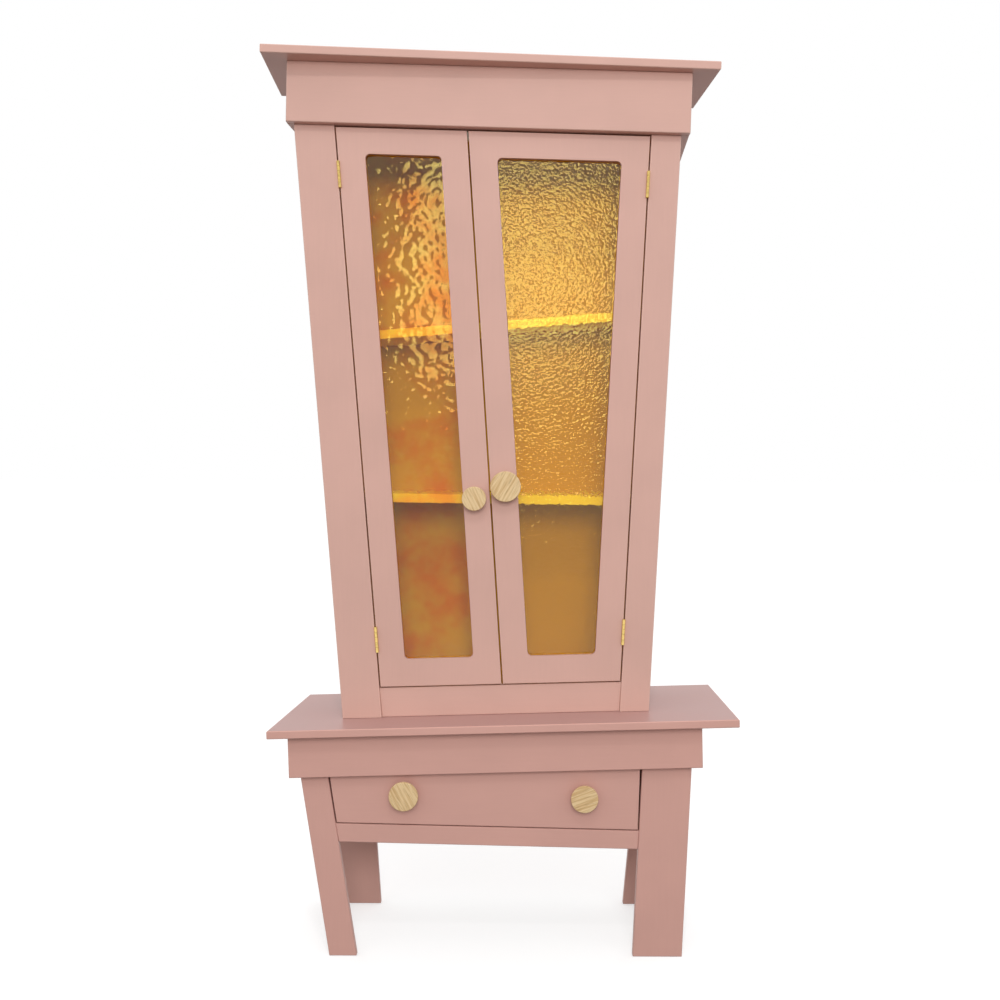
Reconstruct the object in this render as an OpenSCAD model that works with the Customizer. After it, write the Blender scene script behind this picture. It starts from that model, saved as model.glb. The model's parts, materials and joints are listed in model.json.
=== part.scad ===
// Crooked display cabinet: a two-door glazed case on a one-drawer stand.
// Every board is the quadrilateral between two leaning side lines and two tilted level lines.
// X runs to the right, Y to the back and Z up. The origin is on the floor, at the middle of the outline.

/* [Boards] */
// Thickness of the legs, stiles, friezes and carcass boards
board_t = 16; // [14:1:20]
// Thickness of the two doors
door_t = 18; // [16:1:22]
// Thickness of a shelf
shelf_t = 18; // [14:1:22]
// Thickness of the back panel and of the drawer bottom
sheet_t = 6; // [4:1:8]
// Width of the eased edge on the painted boards
arris = 1.5; // [0.5:0.1:2.5]

/* [Tabletop] */
// Height of the tabletop's upper face above the floor, on the centre line
table_z = 477; // [440:1:520]
// Width of the tabletop
table_w = 915; // [880:5:950]
// Depth of the tabletop
table_d = 292; // [280:1:320]
// Tilt of the tabletop, positive where it rises to the right
table_tilt = 1.65; // [0:0.05:2.5]
// Distance of the tabletop's middle from the centre line
table_shift = 9; // [0:1:20]
// Distance that the back left corner of the tabletop is cut in
table_corner_cut = 29; // [0:1:40]

/* [Base frieze] */
// Distance of the frieze's left end inside the tabletop's left end
frieze_left_inset = 36.5; // [20:0.5:50]
// Distance of the frieze's right end inside the tabletop's right end
frieze_right_inset = 65.5; // [40:0.5:80]
// Height of the frieze under the tabletop
base_frieze_h = 85; // [70:1:100]
// Distance that the tabletop stands forward of the frieze
table_overhang = 24; // [15:1:35]

/* [Legs] */
// Width of the front left leg
front_left_leg_w = 54; // [48:1:70]
// Width of the front right leg
front_right_leg_w = 98; // [80:1:110]
// Width of the back left leg
back_left_leg_w = 110; // [90:1:115]
// Width of the back right leg
back_right_leg_w = 70; // [60:1:80]
// Distance of the front left foot's inner edge inside the frieze's left end
front_left_inset = 131; // [120:1:140]
// Distance of the front right foot's inner edge inside the frieze's right end
front_right_inset = 131; // [120:1:140]
// Distance of the back left foot's inner edge inside the frieze's left end
back_left_inset = 152; // [145:1:165]
// Distance of the back right foot's inner edge inside the frieze's right end
back_right_inset = 122; // [116:1:130]
// Outward lean of the front left leg, going up
front_left_lean = 8.65; // [7:0.05:9.5]
// Outward lean of the front right leg, going up
front_right_lean = 2.25; // [1.5:0.05:3]
// Outward lean of the back left leg, going up
back_left_lean = 3.7; // [2.5:0.1:4.5]
// Outward lean of the back right leg, going up
back_right_lean = 4.9; // [4:0.1:5.5]
// Outward lean of the panel between the left legs, going up
base_left_lean = 7; // [5:0.1:8]
// Outward lean of the panel between the right legs, going up
base_right_lean = 4.6; // [3:0.1:5]

/* [Drawer] */
// Height of the lower rail's top edge above the floor, on the centre line
rail_z = 261; // [240:1:280]
// Height of the lower rail
rail_h = 37.5; // [30:0.5:45]
// Tilt of the lower rail and of the drawer's bottom edge
rail_tilt = -1.25; // [-2:0.05:0]
// Gap round the drawer front
drawer_gap = 2.2; // [1.5:0.1:4]
// Outward lean of the drawer front's left edge
drawer_left_lean = 5.2; // [4:0.1:6.5]
// Outward lean of the drawer front's right edge
drawer_right_lean = 1.35; // [1:0.05:2]
// Thickness of the drawer's sides and back
drawer_side_t = 12; // [9:1:15]
// Length of the drawer box behind its front
drawer_l = 185; // [150:1:200]
// Distance of the drawer box's top edge under the front's top edge
drawer_drop = 12; // [8:1:20]
// Play between the drawer box and its runners
drawer_play = 0.5; // [0.3:0.1:1]

/* [Case] */
// Distance of the case's front behind the tabletop's front edge
case_setback = 79; // [70:1:90]
// Depth of the case, from the stiles' face to the back panel's face
case_d = 180; // [170:1:190]
// Sideways lean of the case's side walls, going back
case_skew = 4.5; // [0:0.1:5]
// Distance of the left stile's foot inside the tabletop's left end
left_stile_inset = 135.5; // [120:0.5:150]
// Distance of the right stile's foot inside the tabletop's right end
right_stile_inset = 163.5; // [150:0.5:175]
// Outward lean of the left stile, going up
left_lean = 4.4; // [4:0.05:4.6]
// Outward lean of the right stile, going up
right_lean = 2.58; // [2.4:0.02:2.8]
// Width of the left stile
left_stile_w = 78.5; // [70:0.5:85]
// Width of the right stile
right_stile_w = 58.5; // [52:0.5:64]
// Height of the plinth rail
plinth_h = 59.5; // [50:0.5:70]
// Distance of the plinth rail's face behind the stiles' face
plinth_set = 1; // [0:0.5:3]

/* [Hat] */
// Height of the hat's bottom edge above the floor, on the centre line
hat_z = 1633; // [1580:1:1680]
// Distance that the hat stands out beyond the top of the left stile
hat_left_over = 12.5; // [6:0.1:25]
// Distance that the hat stands out beyond the top of the right stile
hat_right_over = 14.7; // [6:0.1:30]
// Height of the hat's front board
hat_h = 115; // [100:1:130]
// Tilt of the hat, negative where it falls to the right
hat_tilt = -1.5; // [-2:0.05:0]
// Distance that the top board stands forward of the hat at its left end
top_front_left = 38; // [25:1:45]
// Distance that the top board stands forward of the hat at its right end
top_front_right = 20; // [12:1:30]
// Distance that the top board stands out beyond the hat's left side
top_left = 42.8; // [30:0.1:50]
// Distance that the top board stands out beyond the hat's right side
top_right = 50.7; // [40:0.1:60]
// Distance that the top board stands out behind the hat
top_back_over = 5; // [0:0.5:12]
// Distance that the top board's ends lean to the left over its depth
top_skew = 11; // [0:1:15]

/* [Shelves] */
// Height of the upper shelf's top edge on the centre line
upper_shelf_z = 1268; // [1200:1:1320]
// Tilt of the upper shelf
upper_shelf_tilt = 4.6; // [0:0.1:6]
// Height of the lower shelf's top edge on the centre line
lower_shelf_z = 918; // [850:1:980]
// Tilt of the lower shelf
lower_shelf_tilt = -0.55; // [-2:0.05:2]
// Distance of the shelves' front edge behind the doors
shelf_set = 21; // [12:1:40]
// Width of a shelf batten
batten_w = 14; // [10:1:20]
// Height of a shelf batten
batten_h = 18; // [12:1:25]

/* [Doors] */
// Share of the doorway's width that the left door takes at its bottom edge
left_door_share = 0.5077; // [0.48:0.0005:0.54]
// Lean of the doors' meeting line, negative to the left going up
meeting_lean = -3.75; // [-4.5:0.05:-3]
// Gap between a door and its stile, which holds both hinge leaves
hinge_gap = 2.5; // [2.4:0.1:3.5]
// Gap between the two doors
meeting_gap = 3; // [2.5:0.1:4]
// Gap above and below the doors
door_gap = 3; // [2.5:0.1:5]
// Width of the door face beside the glass
door_margin = 53; // [45:0.5:60]
// Height of the door face under the glass
door_bottom_margin = 55.5; // [48:0.5:65]
// Height of the door face over the glass
door_top_margin = 50; // [44:0.5:60]
// Corner radius of the glazed openings
opening_r = 9; // [4:1:15]
// Thickness of the textured glass
glass_t = 4; // [3:0.5:5]
// Width of the rebate that holds the glass
rebate_w = 9; // [6:0.5:12]
// Depth of the rebate, from the door's inner face
rebate_d = 10; // [8:0.5:12]
// Play round the glass in its rebate
glass_play = 0.5; // [0.2:0.1:1]

/* [Hinges] */
// Length of a butt hinge
hinge_l = 51; // [40:1:60]
// Radius of the hinge knuckles
knuckle_r = 3.2; // [2.8:0.1:4]
// Radius of the hinge pins
pin_r = 1.5; // [1.2:0.1:1.8]
// Thickness of a hinge leaf
leaf_t = 1.1; // [0.8:0.1:1.15]
// Width of a hinge leaf behind the stiles' face
leaf_w = 14; // [11:0.5:14.5]
// Gap between neighbouring knuckles
knuckle_gap = 0.3; // [0.2:0.05:0.6]
// Running clearance of the pins in the door leaves
pin_play = 0.05; // [0.02:0.01:0.1]
// Distance of the upper hinges' middle under the hat
upper_hinge_drop = 95; // [70:1:140]
// Distance of the lower hinges' middle above the door bottoms
lower_hinge_rise = 98; // [70:1:140]

/* [Knobs] */
// Diameter of the left door's knob
left_knob_d = 48; // [40:0.5:56]
// Diameter of the right door's knob
right_knob_d = 60.5; // [50:0.5:66]
// Diameter of the drawer's left knob
drawer_left_knob_d = 58; // [48:0.5:66]
// Diameter of the drawer's right knob
drawer_right_knob_d = 54; // [46:0.5:62]
// Distance that the knobs stand out
knob_l = 22; // [18:1:30]
// Radius of a knob's neck
knob_neck_r = 11; // [9:0.5:14]
// Thickness of a knob's rim
knob_rim = 5; // [4:0.5:8]
// Distance of the left knob's middle from the doors' meeting edge
left_knob_in = 31; // [26:0.5:34]
// Distance of the right knob's middle from the doors' meeting edge
right_knob_in = 29.5; // [26:0.5:34]
// Height of the left door's knob
left_knob_z = 913; // [850:1:980]
// Height of the right door's knob
right_knob_z = 937; // [870:1:1000]
// Distance of the drawer's left knob from the front's left end
drawer_left_knob_in = 142.8; // [110:0.1:180]
// Distance of the drawer's right knob from the front's right end
drawer_right_knob_in = 110.8; // [90:0.1:160]
// Height of the drawer's left knob over the middle of the front
drawer_left_knob_rise = 12.5; // [-10:0.5:20]
// Height of the drawer's right knob over the middle of the front
drawer_right_knob_rise = 7; // [-10:0.5:20]
// Radius of the knob screws
screw_r = 2; // [1.5:0.1:2.5]

/* [Hidden] */
$fn = 48;

pink = [0.80, 0.62, 0.57];
yellow = [0.93, 0.75, 0.20];
brass = [0.85, 0.70, 0.35];
oak = [0.84, 0.72, 0.52];
clear = [0.90, 0.75, 0.35, 0.5];
steel = [0.70, 0.70, 0.72];
bare = [0.80, 0.68, 0.52];

// A side line is [x on the floor, slope]; a level line is [height on the centre line, slope].
function side(x, z, lean) = [x - z * tan(lean), tan(lean)];
function level(x, z, tilt) = [z - x * tan(tilt), tan(tilt)];
// Either kind of line moved square to itself, to the right or upwards
function shift(line, d) = [line[0] + d * sqrt(1 + line[1] * line[1]), line[1]];
// Place along a line: x of a side line at height z, or height of a level line at x
function at(line, v) = line[0] + line[1] * v;
// Point where a side line meets a level line
function meet(s, l) = let (x = (s[0] + s[1] * l[0]) / (1 - s[1] * l[1])) [x, at(l, x)];
// Outline between four lines: bottom left, bottom right, top right, top left
function quad(left, right, low, high) =
    [meet(left, low), meet(right, low), meet(right, high), meet(left, high)];
// A side line of the case's walls at depth y, which lean sideways going back
function deep(line, y) = [line[0] + (y - case_y) * tan(case_skew), line[1]];

// Depths of the faces
table_y = -table_d / 2;
frieze_y = table_y + table_overhang;
leg_y = frieze_y + board_t;
inner_y = leg_y + board_t;
base_back_y = table_d / 2 - 5;
back_leg_y = base_back_y - board_t;
case_y = table_y + case_setback;
wall_y = case_y + board_t;
case_back_y = case_y + case_d;
back_panel_y = case_back_y - sheet_t;
hat_y = case_y - board_t;
door_back_y = case_y + door_t;
shelf_y = door_back_y + shelf_set;

// Level lines
ground = level(0, 0, 0);
table_top = level(0, table_z, table_tilt);
table_under = shift(table_top, -board_t);
frieze_low = shift(table_under, -base_frieze_h);
rail_top = level(0, rail_z, rail_tilt);
rail_low = shift(rail_top, -rail_h);
plinth_top = shift(table_top, plinth_h);
door_low = shift(plinth_top, door_gap);
hat_low = level(0, hat_z, hat_tilt);
door_high = shift(hat_low, -door_gap);
ceiling_top = shift(hat_low, board_t);
hat_high = shift(hat_low, hat_h);
// Joint gap that keeps tilted boards from biting into each other
seat = 0.05;
top_low = shift(hat_high, seat);
top_high = shift(top_low, board_t);

// Side lines of the base
table_left_x = table_shift - table_w / 2;
table_right_x = table_shift + table_w / 2;
frieze_mid_z = table_z - board_t - base_frieze_h / 2;
frieze_left_x = table_left_x + frieze_left_inset;
frieze_right_x = table_right_x - frieze_right_inset;
frieze_left = side(frieze_left_x, frieze_mid_z, -table_tilt);
frieze_right = side(frieze_right_x, frieze_mid_z, -table_tilt);
base_in_left = shift(frieze_left, board_t);
base_in_right = shift(frieze_right, -board_t);
front_left_in = side(frieze_left_x + front_left_inset, 0, -front_left_lean);
front_right_in = side(frieze_right_x - front_right_inset, 0, front_right_lean);
back_left_in = side(frieze_left_x + back_left_inset, 0, -back_left_lean);
back_right_in = side(frieze_right_x - back_right_inset, 0, back_right_lean);
base_left_corner = meet(base_in_left, table_under);
base_right_corner = meet(base_in_right, table_under);
base_left_out = side(base_left_corner[0], base_left_corner[1], -base_left_lean);
base_right_out = side(base_right_corner[0], base_right_corner[1], base_right_lean);
base_left_wall = shift(base_left_out, board_t);
base_right_wall = shift(base_right_out, -board_t);

// Drawer lines
drawer_low = shift(rail_top, drawer_gap);
drawer_high = shift(frieze_low, -door_gap);
box_low = shift(rail_top, drawer_play);
box_high = shift(drawer_high, -drawer_drop);
left_throat = meet(front_left_in, rail_top);
right_throat = meet(front_right_in, rail_top);
drawer_left_out = side(left_throat[0] + drawer_gap, left_throat[1], -drawer_left_lean);
drawer_right_out = side(right_throat[0] - drawer_gap, right_throat[1], drawer_right_lean);
box_clear = 4;
box_left = side(left_throat[0] + box_clear, 0, 0);
box_right = side(right_throat[0] - box_clear, 0, 0);
box_in_left = shift(box_left, drawer_side_t);
box_in_right = shift(box_right, -drawer_side_t);
box_back_y = inner_y + drawer_l;
groove_d = drawer_side_t / 2;
groove_play = 0.1;
groove_lift = 6;
bottom_low = shift(box_low, groove_lift);
bottom_high = shift(bottom_low, sheet_t);
guide_h = 16;
kicker_gap = 2;
stop_gap = 3;

// Side lines of the case, its doors and its hat
left_stile_x = table_left_x + left_stile_inset;
right_stile_x = table_right_x - right_stile_inset;
left_out = side(left_stile_x, at(table_top, left_stile_x), -left_lean);
right_out = side(right_stile_x, at(table_top, right_stile_x), right_lean);
left_stile_in = shift(left_out, left_stile_w);
right_stile_in = shift(right_out, -right_stile_w);
left_wall = shift(left_out, board_t);
right_wall = shift(right_out, -board_t);
left_hinge_line = shift(left_stile_in, hinge_gap);
right_hinge_line = shift(right_stile_in, -hinge_gap);
left_door_foot = meet(left_hinge_line, door_low);
right_door_foot = meet(right_hinge_line, door_low);
meeting_foot = left_door_foot + (right_door_foot - left_door_foot) * left_door_share;
meeting = side(meeting_foot[0], meeting_foot[1], meeting_lean);
left_meeting = shift(meeting, -meeting_gap / 2);
right_meeting = shift(meeting, meeting_gap / 2);
left_stile_head = meet(left_out, hat_low);
right_stile_head = meet(right_out, hat_low);
hat_left_out = side(left_stile_head[0] - hat_left_over, left_stile_head[1], -hat_tilt);
hat_right_out = side(right_stile_head[0] + hat_right_over, right_stile_head[1], -hat_tilt);
hat_left_in = shift(hat_left_out, board_t);
hat_right_in = shift(hat_right_out, -board_t);

// Door outlines as [left, right, low, high] lines
left_door = [left_hinge_line, left_meeting, door_low, door_high];
right_door = [right_meeting, right_hinge_line, door_low, door_high];
function inset(d, s, b, t) = [shift(d[0], s), shift(d[1], -s), shift(d[2], b), shift(d[3], -t)];
function outline(d) = quad(d[0], d[1], d[2], d[3]);
function opening(d) = inset(d, door_margin, door_bottom_margin, door_top_margin);
function rebate(d) = inset(opening(d), -rebate_w, -rebate_w, -rebate_w);
rebate_y = door_back_y - rebate_d;
bead_y = rebate_y + glass_t;

// Hinge axes stand just clear of the door faces
axis_set = knuckle_r + 0.2;
axis_y = case_y - axis_set;
left_angle = -left_lean;
right_angle = right_lean;
upper_hinge_z = hat_z - upper_hinge_drop;
lower_hinge_z = at(door_low, 0) + lower_hinge_rise;
hinge_heights = [upper_hinge_z, lower_hinge_z];
knuckles = 5;
knuckle_l = (hinge_l - (knuckles - 1) * knuckle_gap) / knuckles;
leaf_screw_r = 1.4;
leaf_screw_l = 13;
screw_fit = 0.05;
pin_fit = 0.02;
leaf_head_r = 2.6;
leaf_screw_y = axis_set + 8;
screw_head_r = 4.5;
screw_head_t = 2.5;
knob_bite = 14;
soft = 1.8;
waist = 1;
rim_back = 0.6;
flare_l = 6;
knob_bore_fit = 0.25;
knob_screw_fit = 0.02;

// Knob places on the face lines
left_knob_x = at(left_meeting, left_knob_z) - left_knob_in;
right_knob_x = at(right_meeting, right_knob_z) + right_knob_in;
function front_mid(x) = (at(drawer_low, x) + at(drawer_high, x)) / 2;
drawer_left_knob_x = meet(drawer_left_out, drawer_high)[0] + drawer_left_knob_in;
drawer_right_knob_x = meet(drawer_right_out, drawer_high)[0] - drawer_right_knob_in;
drawer_left_knob_z = front_mid(drawer_left_knob_x) + drawer_left_knob_rise;
drawer_right_knob_z = front_mid(drawer_right_knob_x) + drawer_right_knob_rise;

// Outline in the front view, made solid from depth y backwards
module prism(pts, y, t)
    translate([0, y + t, 0]) rotate([90, 0, 0]) linear_extrude(t) polygon(pts);

// The same with its edges eased
module board(pts, y, t)
    hull() {
        prism(pts, y + arris, t - 2 * arris);
        translate([0, y + t, 0]) rotate([90, 0, 0])
            linear_extrude(t) offset(delta = -arris) polygon(pts);
    }

// Solid between a front outline at y0 and a back outline at y1
module loft(front, back, y0, y1)
    polyhedron(
        points = concat([for (p = front) [p[0], y0, p[1]]], [for (p = back) [p[0], y1, p[1]]]),
        faces = concat([[3, 2, 1, 0], [4, 5, 6, 7]],
            [for (i = [0:3]) [i, (i + 1) % 4, (i + 1) % 4 + 4, i + 4]]));

// Board of the case whose ends follow the leaning side walls
module case_board(left, right, low, high, y0, y1)
    loft(quad(deep(left, y0), deep(right, y0), low, high),
        quad(deep(left, y1), deep(right, y1), low, high), y0, y1);

// Plan outline laid on a level line, with its edges eased, hanging down by t from it
module slab(plan, z, tilt, t)
    translate([0, 0, z]) rotate([0, -tilt, 0]) translate([0, 0, -t])
        hull() {
            translate([0, 0, arris]) linear_extrude(t - 2 * arris) polygon(plan);
            linear_extrude(t) offset(delta = -arris) polygon(plan);
        }

// Legs stop under the tabletop and are trimmed where the frieze's end boards pass
module leg(in_line, width, y)
    color(pink)
        intersection() {
            board(quad(shift(in_line, min(width, 0)), shift(in_line, max(width, 0)), ground, table_under),
                y, board_t);
            prism(quad(base_in_left, base_in_right, ground, table_under), y, board_t);
        }
module front_left_leg() leg(front_left_in, -front_left_leg_w, leg_y);
module front_right_leg() leg(front_right_in, front_right_leg_w, leg_y);
module back_left_leg() leg(back_left_in, -back_left_leg_w, back_leg_y);
module back_right_leg() leg(back_right_in, back_right_leg_w, back_leg_y);

module base_left_side()
    color(pink)
        prism(quad(base_left_out, base_left_wall, rail_low, table_under), inner_y, back_leg_y - inner_y);
module base_right_side()
    color(pink)
        prism(quad(base_right_wall, base_right_out, rail_low, table_under), inner_y, back_leg_y - inner_y);
module base_back_rail()
    color(pink) board(quad(back_left_in, back_right_in, rail_low, table_under), back_leg_y, board_t);
module drawer_rail()
    color(pink) board(quad(front_left_in, front_right_in, rail_low, rail_top), leg_y, board_t);

// Each runner is a ledge under the drawer's side with a guide beside it
module runner(wall, box_out, box_in) {
    lines = wall[0] < box_out[0] ? [wall, box_in, shift(box_out, -drawer_play)]
        : [box_in, wall, shift(box_out, drawer_play)];
    prism(quad(lines[0], lines[1], shift(rail_top, -board_t), rail_top), inner_y, back_leg_y - inner_y);
    guide_left = wall[0] < box_out[0] ? wall : lines[2];
    guide_right = wall[0] < box_out[0] ? lines[2] : wall;
    prism(quad(guide_left, guide_right, shift(rail_top, -board_t), shift(rail_top, guide_h)),
        inner_y + stop_gap, back_leg_y - inner_y - stop_gap);
}
module drawer_runners()
    color(bare) {
        runner(base_left_wall, box_left, box_in_left);
        runner(base_right_wall, box_right, box_in_right);
    }
module kicker(left, right)
    prism(quad(left, right, shift(box_high, kicker_gap), shift(box_high, kicker_gap + board_t)),
        inner_y + stop_gap, back_leg_y - inner_y - stop_gap);
module drawer_kickers()
    color(bare) {
        kicker(base_left_wall, box_in_left);
        kicker(box_in_right, base_right_wall);
    }

module base_frieze_front()
    color(pink) board(quad(frieze_left, frieze_right, frieze_low, table_under), frieze_y, board_t);
module base_frieze_left()
    color(pink) board(quad(frieze_left, base_in_left, frieze_low, table_under), leg_y, base_back_y - leg_y);
module base_frieze_right()
    color(pink) board(quad(base_in_right, frieze_right, frieze_low, table_under), leg_y, base_back_y - leg_y);

table_plan = [[table_left_x, table_y], [table_right_x, table_y], [table_right_x, -table_y],
    [table_left_x + table_corner_cut, -table_y]];
module tabletop()
    color(pink) slab([for (p = table_plan) [p[0] / cos(table_tilt), p[1]]], table_z, table_tilt, board_t);

module left_stile()
    color(pink)
        difference() {
            board(quad(left_out, left_stile_in, table_top, hat_low), case_y, board_t);
            frame_pilots(left_hinge_line, left_angle, 1);
        }
module right_stile()
    color(pink)
        difference() {
            board(quad(right_stile_in, right_out, table_top, hat_low), case_y, board_t);
            frame_pilots(right_hinge_line, right_angle, -1);
        }
module plinth_rail()
    color(pink)
        board(quad(left_stile_in, right_stile_in, table_top, plinth_top),
            case_y + plinth_set, board_t - plinth_set);
module case_left_side()
    color(yellow) case_board(left_out, left_wall, table_top, hat_low, wall_y, back_panel_y);
module case_right_side()
    color(yellow) case_board(right_wall, right_out, table_top, hat_low, wall_y, back_panel_y);
module case_floor()
    color(yellow)
        case_board(left_wall, right_wall, shift(plinth_top, -board_t), plinth_top, wall_y, back_panel_y);
module case_ceiling()
    color(yellow) case_board(hat_left_in, hat_right_in, hat_low, ceiling_top, case_y, case_back_y);
module back_panel()
    color(yellow)
        prism(quad(deep(left_out, back_panel_y), deep(right_out, back_panel_y), table_top, hat_low),
            back_panel_y, sheet_t);

// The shelves lie on battens fixed to the side walls
upper_shelf_top = level(0, upper_shelf_z, upper_shelf_tilt);
lower_shelf_top = level(0, lower_shelf_z, lower_shelf_tilt);
module shelf(top)
    color(yellow) case_board(left_wall, right_wall, shift(top, -shelf_t), top, shelf_y, back_panel_y);
module upper_shelf() shelf(upper_shelf_top);
module lower_shelf() shelf(lower_shelf_top);
module shelf_battens()
    color(yellow)
        for (top = [upper_shelf_top, lower_shelf_top]) {
            low = shift(top, -shelf_t - batten_h);
            high = shift(top, -shelf_t);
            case_board(left_wall, shift(left_wall, batten_w), low, high, shelf_y + batten_w, back_panel_y);
            case_board(shift(right_wall, -batten_w), right_wall, low, high, shelf_y + batten_w, back_panel_y);
        }

module hat_front()
    color(pink) board(quad(hat_left_out, hat_right_out, hat_low, hat_high), hat_y, board_t);
module hat_left()
    color(pink) case_board(hat_left_out, hat_left_in, hat_low, hat_high, case_y, case_back_y);
module hat_right()
    color(pink) case_board(hat_right_in, hat_right_out, hat_low, hat_high, case_y, case_back_y);
module hat_back()
    color(pink)
        case_board(hat_left_in, hat_right_in, shift(ceiling_top, seat), hat_high,
            case_back_y - board_t, case_back_y);

// The top board's front edge runs back to the right and its ends lean to the left
top_left_x = meet(hat_left_out, hat_high)[0] - top_left;
top_right_x = meet(hat_right_out, hat_high)[0] + top_right;
top_back_y = case_back_y + top_back_over;
top_plan = [[top_left_x, hat_y - top_front_left], [top_right_x, hat_y - top_front_right],
    [top_right_x - top_skew, top_back_y], [top_left_x - top_skew, top_back_y]];
module top_board()
    color(pink) slab([for (p = top_plan) [p[0] / cos(hat_tilt), p[1]]], top_high[0], hat_tilt, board_t);

// Magnetic catch under the ceiling, one cup for each door
catch_w = 48;
catch_h = 15;
catch_d = 14;
strike_w = 16;
strike_h = 11;
strike_t = 1.5;
catch_x = at(meeting, hat_z);
catch_z = at(hat_low, catch_x) - catch_h - 1;
catch_gap = 0.3;
catch_y = door_back_y + strike_t + catch_gap;
magnet_r = 2.5;
magnet_sink = 3;
module magnet_catch()
    color(steel)
        difference() {
            prism(quad(side(catch_x - catch_w / 2, 0, 0), side(catch_x + catch_w / 2, 0, 0),
                shift(hat_low, -catch_h), hat_low), catch_y, catch_d);
            for (s = [-1, 1])
                translate([catch_x + s * catch_w / 4, catch_y + catch_d / 2, catch_z - 1])
                    cylinder(r = magnet_r, h = magnet_sink + 1);
        }
module strike(s)
    color(steel)
        translate([catch_x + s * catch_w / 4 - strike_w / 2, door_back_y, catch_z + 2])
            cube([strike_w, strike_t, strike_h]);
module left_strike_plate() strike(-1);
module right_strike_plate() strike(1);

// Hinge frame: the knuckles lie along local Z, and the door is on the side that hand points to
module at_hinge(line, angle, z)
    translate([at(line, z), axis_y, z]) rotate([0, angle, 0]) children();
module knuckle_run(first)
    for (i = [first:2:knuckles - 1])
        translate([0, 0, -hinge_l / 2 + i * (knuckle_l + knuckle_gap)])
            cylinder(r = knuckle_r, h = knuckle_l);
module knuckle_rooms(first)
    for (i = [first:2:knuckles - 1])
        translate([0, 0, -hinge_l / 2 + i * (knuckle_l + knuckle_gap) - knuckle_gap])
            cylinder(r = knuckle_r + knuckle_gap, h = knuckle_l + 2 * knuckle_gap);
// Screws are sunk in each leaf, above and below its middle
module leaf_screws(x, dir, grow)
    for (s = [-1, 1])
        translate([x, leaf_screw_y, s * hinge_l / 4]) rotate([0, dir * 90, 0]) {
            cylinder(r = leaf_screw_r + grow, h = leaf_screw_l);
            cylinder(r1 = leaf_head_r + grow, r2 = leaf_screw_r + grow, h = leaf_t);
        }
module leaf(x, dir, first, bore)
    difference() {
        union() {
            difference() {
                translate([x, 0, -hinge_l / 2]) cube([leaf_t, axis_set + leaf_w, hinge_l]);
                knuckle_rooms(1 - first);
            }
            knuckle_run(first);
        }
        cylinder(r = bore, h = 2 * hinge_l, center = true);
        leaf_screws(dir > 0 ? x : x + leaf_t, dir, screw_fit);
    }
// Holes that the leaf screws bite into, in a stile and in a door
module frame_pilots(line, angle, hand)
    for (z = hinge_heights)
        at_hinge(line, angle, z) leaf_screws(hand * (leaf_t - hinge_gap), -hand, screw_fit);
module door_pilots(line, angle, hand)
    for (z = hinge_heights)
        at_hinge(line, angle, z) leaf_screws(-hand * leaf_t, hand, screw_fit);
// A frame leaf lies on the stile's edge and a door leaf on the door's edge
module frame_leaves(line, angle, hand)
    color(brass)
        for (z = hinge_heights)
            at_hinge(line, angle, z)
                leaf(hand > 0 ? -hinge_gap : hinge_gap - leaf_t, -hand, 0, pin_r + pin_fit);
module door_leaves(line, angle, hand)
    color(brass)
        for (z = hinge_heights)
            at_hinge(line, angle, z)
                leaf(hand > 0 ? -leaf_t : 0, hand, 1, pin_r + pin_play);
module left_frame_leaves() frame_leaves(left_hinge_line, left_angle, 1);
module right_frame_leaves() frame_leaves(right_hinge_line, right_angle, -1);
module left_door_leaves() door_leaves(left_hinge_line, left_angle, 1);
module right_door_leaves() door_leaves(right_hinge_line, right_angle, -1);
module hinge_pins()
    color(brass)
        for (z = hinge_heights) {
            at_hinge(left_hinge_line, left_angle, z) cylinder(r = pin_r, h = hinge_l + 1, center = true);
            at_hinge(right_hinge_line, right_angle, z) cylinder(r = pin_r, h = hinge_l + 1, center = true);
        }
module frame_hinge_screws()
    color(brass)
        for (z = hinge_heights) {
            at_hinge(left_hinge_line, left_angle, z) leaf_screws(-hinge_gap + leaf_t, -1, 0);
            at_hinge(right_hinge_line, right_angle, z) leaf_screws(hinge_gap - leaf_t, 1, 0);
        }
module left_hinge_screws()
    color(brass)
        for (z = hinge_heights) at_hinge(left_hinge_line, left_angle, z) leaf_screws(-leaf_t, 1, 0);
module right_hinge_screws()
    color(brass)
        for (z = hinge_heights) at_hinge(right_hinge_line, right_angle, z) leaf_screws(leaf_t, -1, 0);

// Opening outline with rounded corners
module rounded(pts, r, y, t)
    translate([0, y + t, 0]) rotate([90, 0, 0])
        linear_extrude(t) offset(r = r, $fn = 24) offset(delta = -r) polygon(pts);
module knob_bore(x, y, z, t)
    translate([x, y - 1, z]) rotate([-90, 0, 0]) cylinder(r = screw_r + knob_bore_fit, h = t + 2);
module door_face(d, knob_x, knob_z, line, angle, hand)
    color(pink)
        difference() {
            board(outline(d), case_y, door_t);
            rounded(outline(opening(d)), opening_r, case_y - 1, door_t + 2);
            prism(outline(rebate(d)), rebate_y, rebate_d + 1);
            knob_bore(knob_x, case_y, knob_z, door_t);
            door_pilots(line, angle, hand);
        }
module glass(d)
    color(clear)
        prism(outline(inset(rebate(d), glass_play, glass_play, glass_play)), rebate_y, glass_t);
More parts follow.
